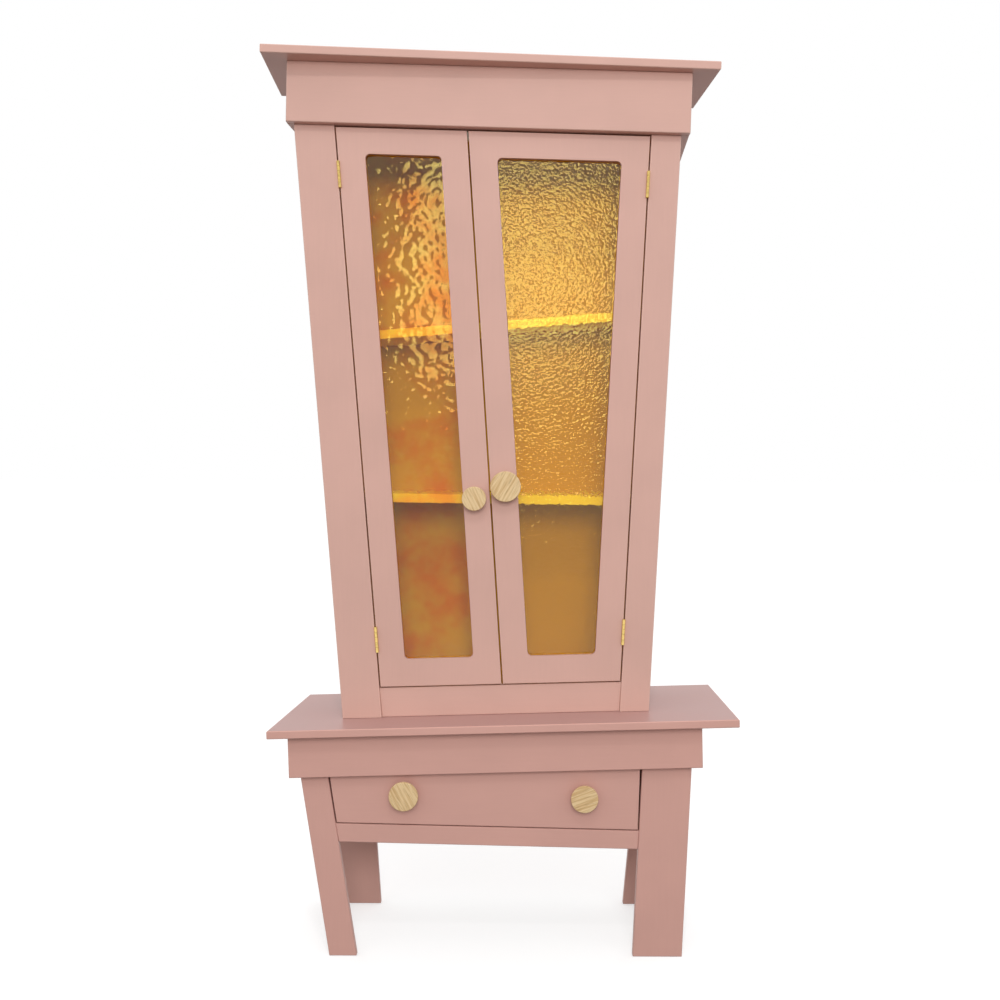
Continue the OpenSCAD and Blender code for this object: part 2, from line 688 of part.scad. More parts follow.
// Two upright beads run the full height and two short ones fit between them
module beads(d)
    color(pink) {
        r = rebate(d);
        t = door_back_y - bead_y;
        prism(quad(r[0], shift(r[0], rebate_w), r[2], r[3]), bead_y, t);
        prism(quad(shift(r[1], -rebate_w), r[1], r[2], r[3]), bead_y, t);
        left = shift(r[0], rebate_w);
        right = shift(r[1], -rebate_w);
        prism(quad(left, right, r[2], shift(r[2], rebate_w)), bead_y, t);
        prism(quad(left, right, shift(r[3], -rebate_w), r[3]), bead_y, t);
    }
module left_door_face()
    door_face(left_door, left_knob_x, left_knob_z, left_hinge_line, left_angle, 1);
module left_glass() glass(left_door);
module left_glazing_beads() beads(left_door);
module right_door_face()
    door_face(right_door, right_knob_x, right_knob_z, right_hinge_line, right_angle, -1);
module right_glass() glass(right_door);
module right_glazing_beads() beads(right_door);

// Turned disc knob: a neck that flares to a thin rounded rim
module knob(x, y, z, d) {
    r = d / 2;
    neck_l = knob_l - knob_rim - flare_l;
    front = [for (a = [0:15:90]) [r - soft + soft * cos(a), knob_l - soft + soft * sin(a)]];
    color(oak)
        translate([x, y, z]) rotate([90, 0, 0])
            difference() {
                rotate_extrude($fn = 96)
                    polygon(concat([[0, 0], [knob_neck_r, 0], [knob_neck_r - waist, neck_l],
                        [r - knob_rim, knob_l - knob_rim - waist], [r - rim_back, knob_l - knob_rim + rim_back]],
                        front, [[0, knob_l]]));
                translate([0, 0, -1]) cylinder(r = screw_r + knob_screw_fit, h = knob_bite + 1);
            }
}
module knob_screw(x, y, z, t)
    color(steel)
        translate([x, y, z]) rotate([90, 0, 0]) {
            translate([0, 0, -t]) cylinder(r = screw_r, h = t + knob_bite - 1);
            translate([0, 0, -t - screw_head_t]) cylinder(r = screw_head_r, h = screw_head_t);
        }
module left_knob() knob(left_knob_x, case_y, left_knob_z, left_knob_d);
module right_knob() knob(right_knob_x, case_y, right_knob_z, right_knob_d);
module left_knob_screw() knob_screw(left_knob_x, case_y, left_knob_z, door_t);
module right_knob_screw() knob_screw(right_knob_x, case_y, right_knob_z, door_t);
module drawer_left_knob() knob(drawer_left_knob_x, leg_y, drawer_left_knob_z, drawer_left_knob_d);
module drawer_right_knob() knob(drawer_right_knob_x, leg_y, drawer_right_knob_z, drawer_right_knob_d);
module drawer_knob_screws() {
    knob_screw(drawer_left_knob_x, leg_y, drawer_left_knob_z, board_t);
    knob_screw(drawer_right_knob_x, leg_y, drawer_right_knob_z, board_t);
}

module drawer_front()
    color(pink)
        difference() {
            board(quad(drawer_left_out, drawer_right_out, drawer_low, drawer_high), leg_y, board_t);
            knob_bore(drawer_left_knob_x, leg_y, drawer_left_knob_z, board_t);
            knob_bore(drawer_right_knob_x, leg_y, drawer_right_knob_z, board_t);
        }
// The bottom slides into grooves in the sides, under the back
module drawer_side(left, right)
    color(bare)
        difference() {
            prism(quad(left, right, box_low, box_high), inner_y, drawer_l);
            prism(quad(shift(box_left, groove_d), shift(box_right, -groove_d), bottom_low, bottom_high),
                inner_y - 1, drawer_l + 2);
        }
module drawer_left_side() drawer_side(box_left, box_in_left);
module drawer_right_side() drawer_side(box_in_right, box_right);
module drawer_back()
    color(bare)
        prism(quad(box_in_left, box_in_right, bottom_high, box_high), box_back_y - drawer_side_t, drawer_side_t);
module drawer_bottom()
    color(bare)
        prism(quad(shift(box_left, groove_d + groove_play), shift(box_right, -groove_d - groove_play),
            bottom_low, bottom_high), inner_y, drawer_l);

front_left_leg();
front_right_leg();
back_left_leg();
back_right_leg();
base_left_side();
base_right_side();
base_back_rail();
drawer_rail();
drawer_runners();
drawer_kickers();
base_frieze_front();
base_frieze_left();
base_frieze_right();
tabletop();
left_stile();
right_stile();
plinth_rail();
case_left_side();
case_right_side();
case_floor();
case_ceiling();
back_panel();
upper_shelf();
lower_shelf();
shelf_battens();
hat_front();
hat_left();
hat_right();
hat_back();
top_board();
magnet_catch();
left_frame_leaves();
right_frame_leaves();
hinge_pins();
frame_hinge_screws();
left_door_face();
left_glass();
left_glazing_beads();
left_door_leaves();
left_hinge_screws();
left_knob();
left_knob_screw();
left_strike_plate();
right_door_face();
right_glass();
right_glazing_beads();
right_door_leaves();
right_hinge_screws();
right_knob();
right_knob_screw();
right_strike_plate();
drawer_front();
drawer_left_side();
drawer_right_side();
drawer_back();
drawer_bottom();
drawer_left_knob();
drawer_right_knob();
drawer_knob_screws();
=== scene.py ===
import json
import math

import bmesh
import bpy
from mathutils import Euler, Matrix, Vector, noise

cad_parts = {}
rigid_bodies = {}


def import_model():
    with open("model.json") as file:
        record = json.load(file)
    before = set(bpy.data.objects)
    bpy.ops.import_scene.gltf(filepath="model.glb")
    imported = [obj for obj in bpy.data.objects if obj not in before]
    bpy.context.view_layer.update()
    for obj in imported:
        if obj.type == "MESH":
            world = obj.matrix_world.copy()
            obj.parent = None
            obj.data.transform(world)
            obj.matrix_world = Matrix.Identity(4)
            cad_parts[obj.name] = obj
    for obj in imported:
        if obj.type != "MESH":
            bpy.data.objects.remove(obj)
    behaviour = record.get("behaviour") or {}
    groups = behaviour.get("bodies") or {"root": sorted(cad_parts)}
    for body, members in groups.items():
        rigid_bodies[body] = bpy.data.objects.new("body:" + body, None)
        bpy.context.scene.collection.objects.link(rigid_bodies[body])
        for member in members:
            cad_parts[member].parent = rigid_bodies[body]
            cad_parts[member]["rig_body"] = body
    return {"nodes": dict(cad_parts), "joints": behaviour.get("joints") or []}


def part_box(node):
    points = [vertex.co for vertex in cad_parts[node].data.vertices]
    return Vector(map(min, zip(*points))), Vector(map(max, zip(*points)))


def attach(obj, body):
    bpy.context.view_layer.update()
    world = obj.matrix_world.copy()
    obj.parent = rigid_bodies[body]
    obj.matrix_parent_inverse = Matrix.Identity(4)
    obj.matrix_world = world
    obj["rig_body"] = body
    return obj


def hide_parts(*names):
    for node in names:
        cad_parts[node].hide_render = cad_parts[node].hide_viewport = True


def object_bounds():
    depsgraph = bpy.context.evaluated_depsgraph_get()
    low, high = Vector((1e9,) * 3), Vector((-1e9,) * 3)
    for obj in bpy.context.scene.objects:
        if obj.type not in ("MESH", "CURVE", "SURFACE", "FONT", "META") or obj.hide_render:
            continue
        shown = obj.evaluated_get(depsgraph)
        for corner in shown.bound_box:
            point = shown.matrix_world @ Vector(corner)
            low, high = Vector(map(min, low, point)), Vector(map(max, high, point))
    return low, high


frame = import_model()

bl_info = {
    "name": "Crooked display cabinet",
    "version": (1, 1, 0),
    "blender": (4, 5, 0),
    "location": "3D View > Sidebar > Cabinet",
    "description": "Painted boards, figured glass, oak knobs and brass hinges on the packed frame",
    "category": "Object",
}

MM = 0.001
CAD_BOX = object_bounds()
BODY_OF = {o.name: o["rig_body"] for o in frame["nodes"].values()}
PIN_LINES = {j["child"]: (Vector(j["pos_m"]), Vector(j["axis"]).normalized())
             for j in frame["joints"] if j["type"] == "hinge"}
HINGE_SPLIT_Z = 1.0
KNUCKLE_REACH = 8 * MM
HINGE_REACH = 60 * MM
DOOR_BACK_Y = -0.049
SLOPING_FACE = 0.85
BOARD_EDGE, BOARD_CORNER = 3.2 * MM, math.radians(30)
PLATE_EDGE, PLATE_CORNER = 4 * MM, math.radians(50)
VARNISH_ROUGHNESS = 0.36
INSIDE_ROUGHNESS, INSIDE_SPECULAR = 0.6, 0.1
HAMMERED_STEP_MM, STIPPLED_STEP_MM = 2.6, 2.2
FLOOR_REACH = 30.0
FILM_MM = 36.0


def linear(hex_colour):
    """Turns an sRGB hex colour into linear RGBA."""
    parts = [int(hex_colour[i:i + 2], 16) / 255 for i in (1, 3, 5)]
    return tuple(c / 12.92 if c <= 0.04045 else ((c + 0.055) / 1.055) ** 2.4 for c in parts) + (1.0,)


def opaque(colour, share=1.0):
    """A colour setting as RGBA, darkened or lightened by share."""
    return tuple(min(1.0, c * share) for c in colour[:3]) + (1.0,)


def per_metre(size_mm):
    """The texture scale at which a pattern repeats about every size_mm."""
    return 1.0 / (size_mm * MM)


def new_material(name):
    """An empty node material and its tree."""
    mat = bpy.data.materials.new(name)
    mat.use_nodes = True
    mat.node_tree.nodes.clear()
    return mat, mat.node_tree


def add(tree, kind, links=None, values=None, **settings):
    """Adds a node with its settings, its own socket values and its links."""
    made = tree.nodes.new(kind)
    for key, value in settings.items():
        setattr(made, key, value)
    for key, value in (values or {}).items():
        made.inputs[key].default_value = value
    for key, source in (links or {}).items():
        socket = source.outputs[0] if isinstance(source, bpy.types.Node) else source
        tree.links.new(socket, made.inputs[key])
    return made


# Oil paint brushed along each board and sanded: an even colour, brush lines 3 mm wide that
# only the sheen shows, and a satin gloss that clouds a little from place to place.
def brushed_paint(name, colour, rough, specular=0.5):
    mat, tree = new_material(name)
    place = add(tree, "ShaderNodeAttribute", attribute_name="board_co").outputs["Vector"]
    along = add(tree, "ShaderNodeMapping", {"Vector": place}, {"Scale": (0.04, 1, 1)})
    cloud = add(tree, "ShaderNodeTexNoise", {"Vector": place}, {"Scale": per_metre(160), "Detail": 3.0})
    brush = add(tree, "ShaderNodeTexNoise", {"Vector": along}, {"Scale": per_metre(3), "Detail": 3.0})
    both = add(tree, "ShaderNodeMath", {0: brush, 2: cloud}, {1: 0.25}, operation="MULTIPLY_ADD")
    tone = add(tree, "ShaderNodeMapRange", {"Value": both}, {"From Min": 0.45, "From Max": 0.8})
    base = add(tree, "ShaderNodeMix", {0: tone}, {6: opaque(colour, 0.955), 7: opaque(colour, 1.02)},
               data_type="RGBA")
    gloss = add(tree, "ShaderNodeMapRange", {"Value": cloud},
                {"From Min": 0.3, "From Max": 0.7, "To Min": rough - 0.04, "To Max": rough + 0.05})
    relief = add(tree, "ShaderNodeBump", {"Height": brush}, {"Strength": 0.6, "Distance": 0.03 * MM})
    shader = add(tree, "ShaderNodeBsdfPrincipled",
                 {"Base Color": base.outputs[2], "Roughness": gloss, "Normal": relief},
                 {"IOR": 1.5, "Specular IOR Level": specular})
    add(tree, "ShaderNodeOutputMaterial", {"Surface": shader})
    return mat


# Straight-grained timber, turned or planed: pale bands with dark pores along the grain. Real
# pores are 0.3 mm wide; they are drawn 1.3 mm wide so that they show at arm's length.
def straight_grain(name, light, dark, rough):
    mat, tree = new_material(name)
    place = add(tree, "ShaderNodeAttribute", attribute_name="board_co").outputs["Vector"]
    along = add(tree, "ShaderNodeMapping", {"Vector": place}, {"Scale": (0.06, 1, 1)})
    bands = add(tree, "ShaderNodeTexNoise", {"Vector": along},
                {"Scale": per_metre(3.5), "Detail": 3.0, "Distortion": 0.1})
    pores = add(tree, "ShaderNodeTexNoise", {"Vector": along},
                {"Scale": per_metre(1.3), "Detail": 2.0, "Roughness": 0.6})
    tone = add(tree, "ShaderNodeMapRange", {"Value": bands}, {"From Min": 0.36, "From Max": 0.58})
    base = add(tree, "ShaderNodeMix", {0: tone}, {6: opaque(dark), 7: opaque(light)}, data_type="RGBA")
    pore = add(tree, "ShaderNodeMapRange", {"Value": pores},
               {"From Min": 0.54, "From Max": 0.68, "To Max": 0.55})
    dotted = add(tree, "ShaderNodeMix", {0: pore, 6: base.outputs[2]}, {7: opaque(dark, 0.6)},
                 data_type="RGBA")
    relief = add(tree, "ShaderNodeBump", {"Height": pores}, {"Strength": 0.5, "Distance": -0.08 * MM})
    shader = add(tree, "ShaderNodeBsdfPrincipled", {"Base Color": dotted.outputs[2], "Normal": relief},
                 {"IOR": 1.5, "Roughness": rough})
    add(tree, "ShaderNodeOutputMaterial", {"Surface": shader})
    return mat


# Drawn brass and zinc-plated steel: a clear metal shine broken by handling haze in 6 mm
# patches and by drawing lines 1 mm apart, drawn coarser than the real ones so that they show.
def drawn_metal(name, colour, rough):
    mat, tree = new_material(name)
    place = add(tree, "ShaderNodeAttribute", attribute_name="board_co").outputs["Vector"]
    along = add(tree, "ShaderNodeMapping", {"Vector": place}, {"Scale": (0.1, 1, 1)})
    lines = add(tree, "ShaderNodeTexNoise", {"Vector": along}, {"Scale": per_metre(1), "Detail": 2.0})
    haze = add(tree, "ShaderNodeTexNoise", {"Vector": place}, {"Scale": per_metre(6), "Detail": 3.0})
    tone = add(tree, "ShaderNodeMapRange", {"Value": haze}, {"From Min": 0.4, "From Max": 0.7})
    base = add(tree, "ShaderNodeMix", {0: tone}, {6: opaque(colour), 7: opaque(colour, 0.75)},
               data_type="RGBA")
    gloss = add(tree, "ShaderNodeMapRange", {"Value": haze}, {"To Min": rough - 0.06, "To Max": rough + 0.1})
    relief = add(tree, "ShaderNodeBump", {"Height": lines}, {"Strength": 0.4, "Distance": 0.01 * MM})
    shader = add(tree, "ShaderNodeBsdfPrincipled",
                 {"Base Color": base.outputs[2], "Roughness": gloss, "Normal": relief}, {"Metallic": 1.0})
    add(tree, "ShaderNodeOutputMaterial", {"Surface": shader})
    return mat


# Injection-moulded acetal: an even cream plastic with the fine spark-eroded skin of its mould.
def moulded_acetal(name, colour, rough):
    mat, tree = new_material(name)
    place = add(tree, "ShaderNodeAttribute", attribute_name="board_co").outputs["Vector"]
    pits = add(tree, "ShaderNodeTexNoise", {"Vector": place}, {"Scale": per_metre(1.1), "Detail": 2.0})
    flow = add(tree, "ShaderNodeTexNoise", {"Vector": place}, {"Scale": per_metre(16)})
    base = add(tree, "ShaderNodeMix", {0: flow}, {6: opaque(colour, 0.93), 7: opaque(colour)},
               data_type="RGBA")
    relief = add(tree, "ShaderNodeBump", {"Height": pits}, {"Strength": 0.5, "Distance": 0.03 * MM})
    shader = add(tree, "ShaderNodeBsdfPrincipled", {"Base Color": base.outputs[2], "Normal": relief},
                 {"IOR": 1.48, "Roughness": rough})
    add(tree, "ShaderNodeOutputMaterial", {"Surface": shader})
    return mat


# Cathedral glass rolled with one figured face: gold, with warmer orange clouds about 110 mm across
# that are painted bounce light, standing for the warm light of the shaded yellow bays behind,
# cells of cell_mm in relief that catch the light as sparkles, and light let through to the case.
def rolled_glass(name, gold, warm, painted_bounce_share, cell_mm, depth_mm, rough):
    mat, tree = new_material(name)
    place = add(tree, "ShaderNodeAttribute", attribute_name="board_co").outputs["Vector"]
    bend = add(tree, "ShaderNodeTexNoise", {"Vector": place}, {"Scale": per_metre(2.5 * cell_mm)})
    bent = add(tree, "ShaderNodeVectorMath", {0: bend.outputs["Color"], 2: place},
               {1: (cell_mm * MM,) * 3}, operation="MULTIPLY_ADD")
    cells = add(tree, "ShaderNodeTexVoronoi", {"Vector": bent}, {"Scale": per_metre(cell_mm)},
                feature="SMOOTH_F1")
    relief = add(tree, "ShaderNodeBump", {"Height": cells.outputs["Distance"]},
                 {"Strength": 1.0, "Distance": depth_mm * MM})
    cloud = add(tree, "ShaderNodeTexNoise", {"Vector": place},
                {"Scale": per_metre(110), "Detail": 5.0, "Roughness": 0.6})
    # Painted bounce light: the share of warmer orange, standing for the warm light in the shaded yellow bays.
    painted_bounce_mix = add(tree, "ShaderNodeMapRange", {"Value": cloud},
               {"From Min": 0.42, "From Max": 0.6, "To Max": painted_bounce_share})
    tint = add(tree, "ShaderNodeMix", {0: painted_bounce_mix}, {6: opaque(gold), 7: opaque(warm)}, data_type="RGBA")
    shader = add(tree, "ShaderNodeBsdfPrincipled", {"Base Color": tint.outputs[2], "Normal": relief},
                 {"IOR": 1.5, "Specular IOR Level": 0.2, "Roughness": rough,
                  "Transmission Weight": 1.0})
    passing = add(tree, "ShaderNodeBsdfTransparent", None, {"Color": linear("#FFF6DC")})
    path = add(tree, "ShaderNodeLightPath").outputs
    onward = add(tree, "ShaderNodeMath", {0: path["Is Shadow Ray"], 1: path["Is Diffuse Ray"]},
                 operation="MAXIMUM")
    pane = add(tree, "ShaderNodeMixShader", {0: onward, 1: shader, 2: passing})
    add(tree, "ShaderNodeOutputMaterial", {"Surface": pane})
    return mat


MATERIAL_NAMES = {
    "pink": "oil_paint_dusty_pink_brushed",
    "base": "oil_paint_rose_pink_brushed",
    "top": "oil_paint_rose_pink_varnished",
    "arris": "oil_paint_pink_rubbed_arris_painted_highlight",
    "yellow": "oil_paint_golden_yellow_brushed",
    "shelf": "oil_paint_yellow_painted_highlight_brushed",
    "oak": "oak_turned_oiled",
    "pine": "pine_planed_bare",
    "brass": "brass_drawn_polished",
    "zinc": "steel_zinc_plated",
    "acetal": "acetal_moulded_cream",
    "hammered": "glass_rolled_hammered_gold_painted_bounce",
    "stippled": "glass_rolled_stippled_gold",
}


def get_material(key):
    """Makes a material once, from the look settings, and hands it out by its key."""
    name = MATERIAL_NAMES[key]
    found = bpy.data.materials.get(name)
    if found:
        return found
    look = bpy.context.scene.cabinet_look
    rough = look.paint_roughness
    makers = {
        "pink": lambda: brushed_paint(name, look.pink, rough),
        "base": lambda: brushed_paint(name, look.base_pink, rough),
        "top": lambda: brushed_paint(name, look.top_pink, VARNISH_ROUGHNESS),
        # The lighter arris paint is partly rubbed wear and partly a painted highlight on the eased edges.
        "arris": lambda: brushed_paint(name, look.arris, rough),
        "yellow": lambda: brushed_paint(name, look.yellow, INSIDE_ROUGHNESS, INSIDE_SPECULAR),
        # The shelves' lighter yellow is a painted highlight for their lit front edges.
        "shelf": lambda: brushed_paint(name, look.shelf_yellow_painted_highlight, INSIDE_ROUGHNESS, INSIDE_SPECULAR),
        "oak": lambda: straight_grain(name, look.oak, look.oak_dark, rough=0.45),
        "pine": lambda: straight_grain(name, look.pine, look.pine_dark, rough=0.6),
        "brass": lambda: drawn_metal(name, look.brass, rough=0.2),
        "zinc": lambda: drawn_metal(name, look.zinc, rough=0.35),
        "acetal": lambda: moulded_acetal(name, look.acetal, rough=0.5),
        # The left pane's orange clouds are painted bounce light; the right pane has none.
        "hammered": lambda: rolled_glass(name, look.glass_gold, look.glass_painted_bounce_colour, painted_bounce_share=0.9,
                                         cell_mm=13.0, depth_mm=0.35, rough=0.01),
        "stippled": lambda: rolled_glass(name, look.glass_gold, look.glass_painted_bounce_colour, painted_bounce_share=0.0,
                                         cell_mm=5.0, depth_mm=0.5, rough=0.02),
    }
    return makers[key]()


def store_board_place(mesh, name, turn=None):
    """Keeps each vertex's place in the piece's own frame, its length along X, so that grain and
    brush lines follow the piece when it moves."""
    points = [v.co for v in mesh.vertices]
    low = Vector([min(p[i] for p in points) for i in range(3)])
    high = Vector([max(p[i] for p in points) for i in range(3)])
    span = high - low
    if turn is None and span.z >= max(span.x, span.y):
        turn = Euler((0, math.radians(90), 0)).to_matrix()
    elif turn is None and span.y > span.x:
        turn = Euler((0, 0, math.radians(-90))).to_matrix()
    turn = turn or Matrix.Identity(3)
    seed = sum(ord(letter) * (i + 3) for i, letter in enumerate(name)) % 97
    offset = Vector((seed * 0.37, seed * 0.11, seed * 0.23))
    attribute = mesh.attributes.new("board_co", "FLOAT_VECTOR", "POINT")
    for item, vertex in zip(attribute.data, mesh.vertices):
        item.vector = turn @ (vertex.co - (low + high) / 2) + offset


def add_piece(bm, node_name, materials, turn=None, smooth_deg=35):
    """Turns a finished bmesh into a piece that rides its CAD node's body and stands for it."""
    mesh = bpy.data.meshes.new(node_name + "_look")
    bm.to_mesh(mesh)
    bm.free()
    store_board_place(mesh, node_name, turn)
    for key in materials:
        mesh.materials.append(get_material(key))
    mesh.shade_smooth()
    mesh.set_sharp_from_angle(angle=math.radians(smooth_deg))
    piece = bpy.data.objects.new(node_name + "_look", mesh)
    bpy.context.scene.collection.objects.link(piece)
    flat = piece.modifiers.new("even_normals", "WEIGHTED_NORMAL")
    flat.keep_sharp = True
    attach(piece, BODY_OF[node_name])
    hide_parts(node_name)
    return piece


def cleaned(node_name):
    """A bmesh of a CAD node with its seams welded and its flat triangles joined."""
    bm = bmesh.new()
    bm.from_mesh(frame["nodes"][node_name].data)
    bmesh.ops.remove_doubles(bm, verts=bm.verts, dist=2e-6)
    bmesh.ops.dissolve_limit(bm, angle_limit=math.radians(0.4), verts=bm.verts, edges=bm.edges)
    bmesh.ops.recalc_face_normals(bm, faces=bm.faces)
    return bm


def hinge_middles():
    """The height of each hinge's middle, from the pins."""
    heights = {}
    for vertex in frame["nodes"]["hinge_pins"].data.vertices:
        key = ("left" if vertex.co.x < 0 else "right", vertex.co.z > HINGE_SPLIT_Z)
        heights.setdefault(key, []).append(vertex.co.z)
    return {key: (min(z) + max(z)) / 2 for key, z in heights.items()}


def slide_hinges(bm, reach):
    """Slides what lies within reach of a pin up or down its leaning line, by the hinge rises."""
    fit = bpy.context.scene.cabinet_fit
    rises = {("left", True): fit.upper_left_rise, ("right", True): fit.upper_right_rise,
             ("left", False): fit.lower_left_rise, ("right", False): fit.lower_right_rise}
    middles = hinge_middles()
    for vertex in bm.verts:
        hand = "left" if vertex.co.x < 0 else "right"
        point, axis = PIN_LINES[hand + "_door"]
        upward = axis if axis.z > 0 else -axis
        out = vertex.co - point
        radial = (out - axis * out.dot(axis)).length
        upper = vertex.co.z > HINGE_SPLIT_Z
        if radial < reach and abs(vertex.co.z - middles[hand, upper]) < HINGE_REACH:
            vertex.co += upward * rises[hand, upper]


def board(node_name, materials, pick=None, arris=None, ease_mm=0.5, shape=None):
    """A board with its sharp edges rounded. shape(bm) fits it, pick(normal, centre) chooses the
    paint of a face, and arris is the paint of the narrow sloping faces along its edges."""
    bm = cleaned(node_name)
    if shape:
        shape(bm)
        bmesh.ops.recalc_face_normals(bm, faces=bm.faces)
    keys = list(materials) + ([arris] if arris else [])
    for face in bm.faces:
        normal = face.normal
        face.material_index = pick(normal, face.calc_center_median()) if pick else 0
        if arris and max(abs(c) for c in normal) < SLOPING_FACE:
            face.material_index = len(keys) - 1
    edges = [e for e in bm.edges if e.is_manifold and e.calc_length() > BOARD_EDGE
             and e.calc_face_angle(0) > BOARD_CORNER]
    bmesh.ops.bevel(bm, geom=edges, offset=ease_mm * MM, offset_type="OFFSET", segments=2, profile=0.5,
                    affect="EDGES", clamp_overlap=False, material=len(keys) - 1 if arris else -1)
    return add_piece(bm, node_name, keys)


def hardware(node_name, material, ease_mm=0.0, shape=None):
    """A metal or plastic piece with its seams welded and its edges broken."""
    bm = cleaned(node_name)
    if shape:
        shape(bm)
    if ease_mm:
        edges = [e for e in bm.edges if e.is_manifold and e.calc_length() > PLATE_EDGE
                 and e.calc_face_angle(0) > PLATE_CORNER]
        bmesh.ops.bevel(bm, geom=edges, offset=ease_mm * MM, segments=2, profile=0.5,
                        affect="EDGES", clamp_overlap=True)
    return add_piece(bm, node_name, [material])


def lean_left_edge(bm):
    """Leans the drawer front's left edge out to lie along the leg, turning about its foot."""
    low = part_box("drawer_front")[0]
    edge_x, foot_z = low.x + 14 * MM, low.z + 13 * MM
    more = math.tan(bpy.context.scene.cabinet_fit.drawer_edge_lean)
    for vertex in bm.verts:
        if vertex.co.x < edge_x:
            vertex.co.x -= more * max(0.0, vertex.co.z - foot_z)


def set_back(distance):
    """A shape step that moves a board's front face back, and leaves its back where it is."""
    def step(bm):
        middle = sum(v.co.y for v in bm.verts) / len(bm.verts)
        for vertex in bm.verts:
            if vertex.co.y < middle:
                vertex.co.y += distance
    return step


def split_at_doors(bm):
    """Cuts the faces of the ceiling or floor behind the doors, where the paint changes."""
    bmesh.ops.bisect_plane(bm, geom=bm.verts[:] + bm.edges[:] + bm.faces[:],
                           plane_co=(0, DOOR_BACK_Y, 0), plane_no=(0, 1, 0))


def turned_knob(node_name, grain_deg):
    """A disc knob turned on a lathe: slim neck, flared back, thin rounded rim and flat face."""
    low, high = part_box(node_name)
    middle, radius, length = (low + high) / 2, (high.x - low.x) / 2, high.y - low.y
    neck, rim, back, soft = 11.0 * MM, 5.0 * MM, 1.1 * MM, 1.8 * MM
    waist = neck - 1.0 * MM
    flare_steps, back_steps, soft_steps, sides = 8, 6, 8, 120
    profile = [(neck, 0.0), (neck - 0.7 * MM, 0.25 * length), (waist, 0.45 * length)]
    flare_low, flare_high = length - rim - 6.0 * MM, length - rim - 1.0 * MM
    flare_radius = radius - 5.0 * MM
    for i in range(1, flare_steps + 1):
        profile.append((waist + (flare_radius - waist) * i / flare_steps,
                        flare_low + (flare_high - flare_low) * i / flare_steps))
    for i in range(back_steps + 1):
        a = math.radians(-80 + i * 80 / back_steps)
        profile.append((radius - back + back * math.cos(a), length - rim + back * math.sin(a) + 0.9 * MM))
    for i in range(soft_steps + 1):
        a = math.radians(i * 90 / soft_steps)
        profile.append((radius - soft + soft * math.cos(a), length - soft + soft * math.sin(a)))
    profile += [((radius - soft) * share, length) for share in (0.9, 0.75, 0.5, 0.25)]
    bm = bmesh.new()
    rings = [[bm.verts.new((middle.x + r * math.cos(2 * math.pi * k / sides), high.y - out,
                            middle.z + r * math.sin(2 * math.pi * k / sides))) for k in range(sides)]
             for r, out in profile]
    for inner, outer in zip(rings, rings[1:]):
        for k in range(sides):
            bm.faces.new((inner[k], inner[(k + 1) % sides], outer[(k + 1) % sides], outer[k]))
    bm.faces.new(rings[-1])
    bm.faces.new(rings[0])
    bmesh.ops.recalc_face_normals(bm, faces=bm.faces)
    return add_piece(bm, node_name, ["oak"], Euler((0, math.radians(grain_deg), 0)).to_matrix(), 50)


def figured_pane(node_name, material, step_mm, relief):
    """A pane with real relief on its front face and a flat back."""
    points = [v.co for v in frame["nodes"][node_name].data.vertices]
    low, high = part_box(node_name)
    lower = [p for p in points if p.z < (low.z + high.z) / 2]
    upper = [p for p in points if p.z >= (low.z + high.z) / 2]
    bl, br = min(lower, key=lambda p: p.x), max(lower, key=lambda p: p.x)
    tl, tr = min(upper, key=lambda p: p.x), max(upper, key=lambda p: p.x)
    columns = int((br - bl).length / (step_mm * MM))
    rows = int((tl - bl).length / (step_mm * MM))
    bm = bmesh.new()
    grids = []
    for is_front in (True, False):
        grid = []
        for j in range(rows + 1):
            line = []
            for i in range(columns + 1):
                p = bl.lerp(br, i / columns).lerp(tl.lerp(tr, i / columns), j / rows)
                line.append(bm.verts.new((p.x, low.y + relief(p.x, p.z) if is_front else high.y, p.z)))
            grid.append(line)
        grids.append(grid)
    for grid in grids:
        for j in range(rows):
            for i in range(columns):
                bm.faces.new((grid[j][i], grid[j][i + 1], grid[j + 1][i + 1], grid[j + 1][i]))
    rim = [(0, i) for i in range(columns)] + [(j, columns) for j in range(rows)]
    rim += [(rows, i) for i in range(columns, 0, -1)] + [(j, 0) for j in range(rows, 0, -1)]
    for (a, b), (c, d) in zip(rim, rim[1:] + rim[:1]):
        bm.faces.new((grids[0][a][b], grids[0][c][d], grids[1][c][d], grids[1][a][b]))
    bmesh.ops.recalc_face_normals(bm, faces=bm.faces)
    return add_piece(bm, node_name, [material])


def hammered_relief(x, z):
    """Broad dimples over small ones, 22 and 10 mm apart, and up to 0.6 mm deep in all."""
    broad = noise.noise(Vector((x / (21 * MM), z / (24 * MM), 3.1)))
    small = noise.noise(Vector((x / (10 * MM), z / (11 * MM), 8.7)))
    return (0.75 + 0.22 * max(-1.4, min(1.4, broad + 0.5 * small))) * MM


def stippled_relief(x, z):
    """A slow roll of the glass under a stipple 6.5 mm apart, drawn coarser than the real one,
    which is about 3 mm, so that it shows."""
    roll = noise.noise(Vector((x / (30 * MM), z / (36 * MM), 1.7)))
    stipple = noise.noise(Vector((x / (6.5 * MM), z / (6.5 * MM), 5.3)))
    return (0.65 + 0.15 * roll + 0.5 * stipple) * MM


def colour(label, hex_colour, text):
    return bpy.props.FloatVectorProperty(name=label, description=text, subtype="COLOR", size=3,
                                         min=0.0, max=1.0, default=linear(hex_colour)[:3])


def distance(label, size_mm, text):
    return bpy.props.FloatProperty(name=label, description=text, subtype="DISTANCE", unit="LENGTH",
                                   default=size_mm * MM)


